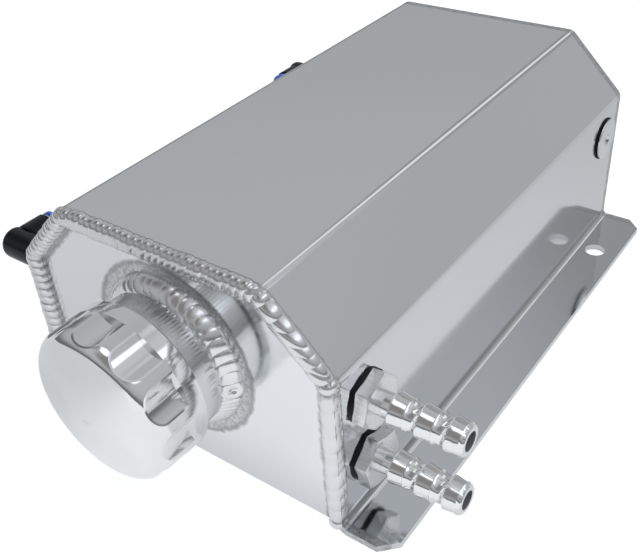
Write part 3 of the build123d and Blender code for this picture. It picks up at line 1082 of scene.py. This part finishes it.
@dataclass
class HoseTail:
    """The barbs of a hose tail: each keeps its width for a while, then falls away to the next.

    The first barb starts that far off the wall, and what lies nearer the axis than outside is bore.
    """

    tank: TankSizes
    rack: FinishRack
    first: float = 9.7 * MM
    pitch: float = 9.2 * MM
    lands: tuple[float, ...] = (5.4 * MM, 5.4 * MM, 4.6 * MM)
    width: float = 5.33 * MM
    outside: float = 4.0 * MM
    near: float = 0.01 * MM
    sharpest: float = 18.0

    def widen(self, tail: bpy.types.Object, middle: Vector) -> None:
        """Cuts a ring round a barb and draws it out to the barb's width.

        Args:
            tail: The hose tail, selected and active.
            middle: The middle of the ring.
        """
        bpy.ops.object.mode_set(mode="EDIT")
        bpy.ops.mesh.select_all(action="SELECT")
        bpy.ops.mesh.bisect(plane_co=middle, plane_no=(1.0, 0.0, 0.0))
        bpy.ops.mesh.mark_sharp()
        bpy.ops.mesh.select_all(action="DESELECT")
        bpy.ops.object.mode_set(mode="OBJECT")
        reach = 0.0
        for vertex in tail.data.vertices:
            offset = vertex.co - middle
            if abs(offset.x) < self.near and offset.length > self.outside:
                vertex.select = True
                reach = max(reach, offset.length)
        wider = self.width / reach
        bpy.ops.object.mode_set(mode="EDIT")
        bpy.ops.transform.resize(value=(1.0, wider, wider), center_override=middle)
        bpy.ops.object.mode_set(mode="OBJECT")

    def build(self, piece: bpy.types.Object, node: str, axis: Point) -> None:
        """Makes the tail from a copy of the piece.

        Args:
            piece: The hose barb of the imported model.
            node: The node that the copy stands for.
            axis: Where the tail's axis meets the wall, as (y, z).
        """
        tail = merged_copy(piece, f"barbed_{node}")
        for count, land in enumerate(self.lands):
            along = self.tank.half_width + self.first + count * self.pitch + land
            self.widen(tail, Vector((along, *axis)))
        evenly_shaded(tail, self.sharpest)
        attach(tail, "root")
        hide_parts(node)
        self.rack.dress(tail, Kind.FITTING)
        log.info("%s: %d barbs", tail.name, len(self.lands))


@dataclass
class DrainPlug:
    """The low head of the drain plug and its squeezed seal, which hardly stand off the wall."""

    tank: TankSizes
    rack: FinishRack
    flatter: float = 0.5
    near: float = 0.05 * MM

    def press(self, piece: bpy.types.Object, node: str, kind: Kind) -> None:
        """Presses what stands off the wall of a copy of a piece down towards the wall.

        Args:
            piece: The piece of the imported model.
            node: The node that the copy stands for.
            kind: Which finish it has.
        """
        copy = merged_copy(piece, f"low_{node}")
        clear_points()
        for vertex in copy.data.vertices:
            vertex.select = vertex.co.x > self.tank.half_width + self.near
        bpy.ops.object.mode_set(mode="EDIT")
        wall = (self.tank.half_width, 0.0, 0.0)
        bpy.ops.transform.resize(value=(self.flatter, 1.0, 1.0), center_override=wall)
        bpy.ops.object.mode_set(mode="OBJECT")
        evenly_shaded(copy)
        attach(copy, "root")
        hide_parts(node)
        self.rack.dress(copy, kind)
        log.info("%s: %s", copy.name, kind.value)


@dataclass
class NeckThread:
    """The screw thread on the spigot of the filler neck, which stops short of the neck's collar."""

    pitch: float = 3.5 * MM
    groove: float = 1.25 * MM
    radius: float = 20.0 * MM
    turns: int = 4
    relief: float = 1.6 * MM

    def cutter(self, tank: TankSizes) -> bpy.types.Object:
        """Winds the V-shaped cutter round the neck's axis.

        Args:
            tank: The tank's sizes.

        Returns:
            The closed helix, in its place round the spigot.
        """
        clear_selection()
        upright = (math.pi / 2, 0.0, 0.0)
        bpy.ops.mesh.primitive_circle_add(
            vertices=4, radius=self.groove, location=(self.radius, 0.0, 0.0), rotation=upright
        )
        helix = bpy.context.object
        settle(helix)
        winding = helix.modifiers.new("winding", "SCREW")
        winding.axis = "Z"
        winding.screw_offset = self.pitch
        winding.iterations = self.turns
        winding.steps = winding.render_steps = 64
        bpy.ops.object.modifier_apply(modifier=winding.name)
        bpy.ops.object.mode_set(mode="EDIT")
        bpy.ops.mesh.select_all(action="SELECT")
        bpy.ops.mesh.remove_doubles(threshold=1e-7)
        bpy.ops.mesh.fill_holes(sides=0)
        bpy.ops.mesh.select_all(action="SELECT")
        bpy.ops.mesh.normals_make_consistent(inside=False)
        bpy.ops.object.mode_set(mode="OBJECT")
        helix.rotation_euler = upright
        helix.location = (tank.neck_x, tank.neck_seat - self.relief, tank.neck_z)
        settle(helix)
        return helix

    def build(self, neck: bpy.types.Object, tank: TankSizes, rack: FinishRack) -> None:
        """Cuts the thread into a copy of the filler neck.

        Args:
            neck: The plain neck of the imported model.
            tank: The tank's sizes.
            rack: The finishes.
        """
        helix = self.cutter(tank)
        threaded = merged_copy(neck, "threaded_neck")
        cut = threaded.modifiers.new("thread", "BOOLEAN")
        cut.operation = "DIFFERENCE"
        cut.solver = "EXACT"
        cut.object = helix
        bpy.ops.object.modifier_apply(modifier=cut.name)
        bpy.data.objects.remove(helix)
        evenly_shaded(threaded)
        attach(threaded, "root")
        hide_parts("filler_neck")
        rack.dress(threaded, Kind.NECK)
        log.info("%s: %d turns", threaded.name, self.turns)


@dataclass(frozen=True)
class Patch:
    """A patch of the room: its direction, colour, and where it fades, in degrees from its middle.

    A squeeze below 1 draws the patch out along the tank.
    """

    toward: Vector
    colour: Colour
    inner: float
    outer: float
    squeeze: float = 1.0


@dataclass
class Studio:
    """Camera, floor, lamp and sky.

    The room gives the sky's levels by height. The floor glows towards the camera, and less in the
    metal's reflections: each pair is its glow in them from one side of the tank to the other.
    """

    eye: Vector = Vector((0.1736, -0.2466, 0.2285))
    right: Vector = Vector((0.8104, 0.5827, -0.0607))
    up: Vector = Vector((-0.304, 0.507, 0.807))
    ahead: Vector = Vector((-0.5009, 0.6354, -0.5877))
    lens: float = 49.796
    floor_size: float = 8.0
    floor_drop: float = 0.2 * MM
    floor_grey: float = 0.62
    floor_glow: float = 0.80
    glow_ahead: Point = (0.38, 0.64)
    glow_beside: Point = (0.42, 0.26)
    room: tuple[Point, ...] = (
        (0.0, 0.15),
        (0.10, 0.17),
        (0.27, 0.42),
        (0.50, 0.50),
        (0.75, 0.50),
        (1.0, 0.44),
    )
    patches: tuple[Patch, ...] = (
        Patch(Vector((0.45, 0.89, 0.02)), (0.48, 0.48, 0.49), 18.0, 40.0),
        Patch(Vector((0.05, -0.72, 0.69)), (0.25, 0.24, 0.235), 12.0, 30.0),
        Patch(Vector((-0.62, -0.18, 0.76)), (0.17, 0.165, 0.16), 10.0, 26.0),
        Patch(Vector((0.02, 0.83, 0.56)), (0.33, 0.33, 0.335), 13.0, 22.0),
        Patch(Vector((0.06, 0.30, 0.95)), (0.92, 0.92, 0.93), 7.0, 13.0, squeeze=0.22),
        Patch(Vector((0.42, 0.00, 0.91)), (0.60, 0.61, 0.63), 4.0, 20.0, squeeze=0.25),
        Patch(Vector((0.63, 0.00, 0.78)), (1.30, 1.36, 1.48), 7.0, 10.5, squeeze=0.22),
        Patch(Vector((-0.14, -0.14, 0.98)), (1.25, 1.25, 1.27), 6.0, 8.5, squeeze=0.6),
    )

    def camera(self) -> None:
        """Sets the camera where the photograph was taken."""
        data = bpy.data.cameras.new("photo_camera")
        data.lens = self.lens
        data.sensor_width = 36.0
        data.sensor_fit = "HORIZONTAL"
        data.clip_start = 0.01
        camera = bpy.data.objects.new("photo_camera", data)
        bpy.context.collection.objects.link(camera)
        turn = Matrix((self.right, self.up, -self.ahead)).transposed().to_4x4()
        camera.matrix_world = Matrix.Translation(self.eye) @ turn
        bpy.context.scene.camera = camera

    def floor(self) -> None:
        """Lays the white floor, which keeps the tank's shadow."""
        clear_selection()
        bpy.ops.mesh.primitive_plane_add(size=self.floor_size, location=(0.0, 0.0, -self.floor_drop))
        sheet = bpy.context.object
        sheet.name = "studio_floor"
        settle(sheet)
        bench = NodeBench("studio_floor")
        bench.set(Base_Color=(self.floor_grey,) * 3, Roughness=0.9, Specular_IOR_Level=0.1)
        rays = bench.node("ShaderNodeLightPath")
        x, y, _ = bench.separate()
        ahead = bench.ramp(x, -0.08, 0.0, *self.glow_ahead)
        beside = bench.ramp(y, -0.05, 0.25, *self.glow_beside)
        mirrored = bench.blend(bench.ramp(y, -0.125, -0.095, 0.0, 1.0), ahead, beside)
        direct = bench.math("MULTIPLY", rays.outputs["Is Camera Ray"], self.floor_glow)
        glossy = bench.math("MULTIPLY", rays.outputs["Is Glossy Ray"], mirrored)
        through = bench.math("MULTIPLY", rays.outputs["Is Transmission Ray"], self.floor_glow)
        glow = bench.math("ADD", bench.math("ADD", direct, glossy), through)
        bench.plug((0.96, 0.98, 1.0, 1.0), bench.shader.inputs["Emission Color"])
        bench.plug(glow, bench.shader.inputs["Emission Strength"])
        sheet.data.materials.append(bench.material)

    def lamp(self, name: str, toward: Vector, distance: float, size: Point, watts: float) -> None:
        """Hangs a soft box that faces the tank.

        Args:
            name: The lamp's name.
            toward: The direction from the tank to the lamp.
            distance: How far away it hangs, in metres.
            size: Its width and height in metres.
            watts: Its power.
        """
        data = bpy.data.lights.new(name, "AREA")
        data.shape = "RECTANGLE"
        data.size, data.size_y = size
        data.energy = watts
        lamp = bpy.data.objects.new(name, data)
        bpy.context.collection.objects.link(lamp)
        lamp.location = toward.normalized() * distance
        lamp.rotation_euler = toward.to_track_quat("Z", "Y").to_euler()

    @staticmethod
    def patched(
        tree: bpy.types.NodeTree,
        place: bpy.types.NodeSocket,
        colour: bpy.types.NodeSocket,
        patch: Patch,
    ) -> bpy.types.NodeSocket:
        """Lays a patch over the room's colour.

        Args:
            tree: The sky's nodes.
            place: The socket of the direction that is looked in.
            colour: The socket of the colour so far.
            patch: The patch.

        Returns:
            The new colour's socket.
        """
        squeezed = tree.nodes.new("ShaderNodeVectorMath")
        squeezed.operation = "MULTIPLY"
        tree.links.new(place, squeezed.inputs[0])
        squeezed.inputs[1].default_value = (1.0, patch.squeeze, 1.0)
        level = tree.nodes.new("ShaderNodeVectorMath")
        level.operation = "NORMALIZE"
        tree.links.new(squeezed.outputs[0], level.inputs[0])
        aim = tree.nodes.new("ShaderNodeVectorMath")
        aim.operation = "DOT_PRODUCT"
        tree.links.new(level.outputs[0], aim.inputs[0])
        aim.inputs[1].default_value = patch.toward.normalized()
        fade = tree.nodes.new("ShaderNodeMapRange")
        fade.interpolation_type = "SMOOTHSTEP"
        outer, inner = (math.cos(math.radians(angle)) for angle in (patch.outer, patch.inner))
        for socket, number in zip(fade.inputs[1:5], (outer, inner, 0.0, 1.0)):
            socket.default_value = number
        tree.links.new(aim.outputs["Value"], fade.inputs[0])
        mix = tree.nodes.new("ShaderNodeMix")
        mix.data_type = "RGBA"
        tree.links.new(fade.outputs[0], mix.inputs[0])
        tree.links.new(colour, mix.inputs[6])
        mix.inputs[7].default_value = (*patch.colour, 1.0)
        return mix.outputs[2]

    def sky(self) -> None:
        """Paints the room that the metal mirrors: dark walls, a grey ceiling and bright soft boxes.

        Camera rays see plain white instead.
        """
        world = bpy.data.worlds.new("studio_room")
        world.use_nodes = True
        tree = world.node_tree
        background = tree.nodes["Background"]
        place = tree.nodes.new("ShaderNodeTexCoord").outputs["Generated"]
        split = tree.nodes.new("ShaderNodeSeparateXYZ")
        tree.links.new(place, split.inputs[0])
        height = tree.nodes.new("ShaderNodeValToRGB")
        for index, (where, level) in enumerate(self.room):
            stop = height.color_ramp.elements[index] if index < 2 else height.color_ramp.elements.new(where)
            stop.position = where
            stop.color = (level, level * 1.01, level * 1.03, 1.0)
        tree.links.new(split.outputs[2], height.inputs[0])
        colour = height.outputs[0]
        for patch in self.patches:
            colour = self.patched(tree, place, colour, patch)
        rays = tree.nodes.new("ShaderNodeLightPath")
        seen = tree.nodes.new("ShaderNodeMix")
        seen.data_type = "RGBA"
        tree.links.new(rays.outputs["Is Camera Ray"], seen.inputs[0])
        tree.links.new(colour, seen.inputs[6])
        seen.inputs[7].default_value = (1.0, 1.0, 1.0, 1.0)
        tree.links.new(seen.outputs[2], background.inputs[0])
        bpy.context.scene.world = world

    def build(self) -> None:
        """Sets up the whole studio."""
        bpy.context.scene.view_settings.view_transform = "Standard"
        self.camera()
        self.floor()
        self.sky()
        self.lamp("overhead_lamp", Vector((-0.12, -0.12, 0.98)), 1.6, (0.36, 0.36), 0.25)
        log.info("studio ready")


@dataclass
class Hardware:
    """The carried-over pieces of the tank and their finishes."""

    rack: FinishRack
    finishes: dict[str, Kind] = field(
        default_factory=lambda: {
            "tank_shell": Kind.SHEET,
            "bottom_plate": Kind.SHEET,
            "front_end_plate": Kind.END_PLATE,
            "rear_end_plate": Kind.END_PLATE,
            "weld": Kind.WELD,
            "filler_neck": Kind.NECK,
            "filler_cap": Kind.TURNED,
            "hose_barb": Kind.FITTING,
            "drain_plug": Kind.FITTING,
            "thread_boss": Kind.FITTING,
            "sight_boss": Kind.FITTING,
            "elbow": Kind.BLACK,
            "elbow_stem": Kind.GRIP,
            "seal": Kind.RUBBER,
            "release_collar": Kind.BLUE,
            "grip_ring": Kind.GRIP,
            "sight_tube": Kind.TUBE,
        }
    )

    def dress(self, nodes: dict[str, bpy.types.Object]) -> None:
        """Gives every piece its finish, by the longest name that it matches.

        Args:
            nodes: The carried-over pieces by name.
        """
        for name, piece in nodes.items():
            matches = [word for word in self.finishes if word in name]
            kind = self.finishes[max(matches, key=len)]
            self.rack.dress(piece, kind)
            log.info("%s: %s", name, kind.value)


def main() -> None:
    """Builds the looks of the tank."""
    logging.basicConfig(level=logging.INFO, format="%(message)s")
    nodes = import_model()["nodes"]
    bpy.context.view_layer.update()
    tank = TankSizes.from_frame()
    rack = FinishRack(tank)
    Hardware(rack).dress(nodes)
    welds = Welds(tank, rack)
    welds.front_seam()
    welds.rear_seam()
    welds.neck()
    NeckThread().build(nodes["filler_neck"], tank, rack)
    tail = HoseTail(tank, rack)
    for node, axis in zip(("upper_hose_barb", "lower_hose_barb"), tank.hose_axes):
        tail.build(nodes[node], node, axis)
    plug = DrainPlug(tank, rack)
    plug.press(nodes["drain_plug"], "drain_plug", Kind.TURNED)
    plug.press(nodes["drain_seal_ring"], "drain_seal_ring", Kind.RUBBER)
    Studio().build()


if __name__ == "__main__":
    main()
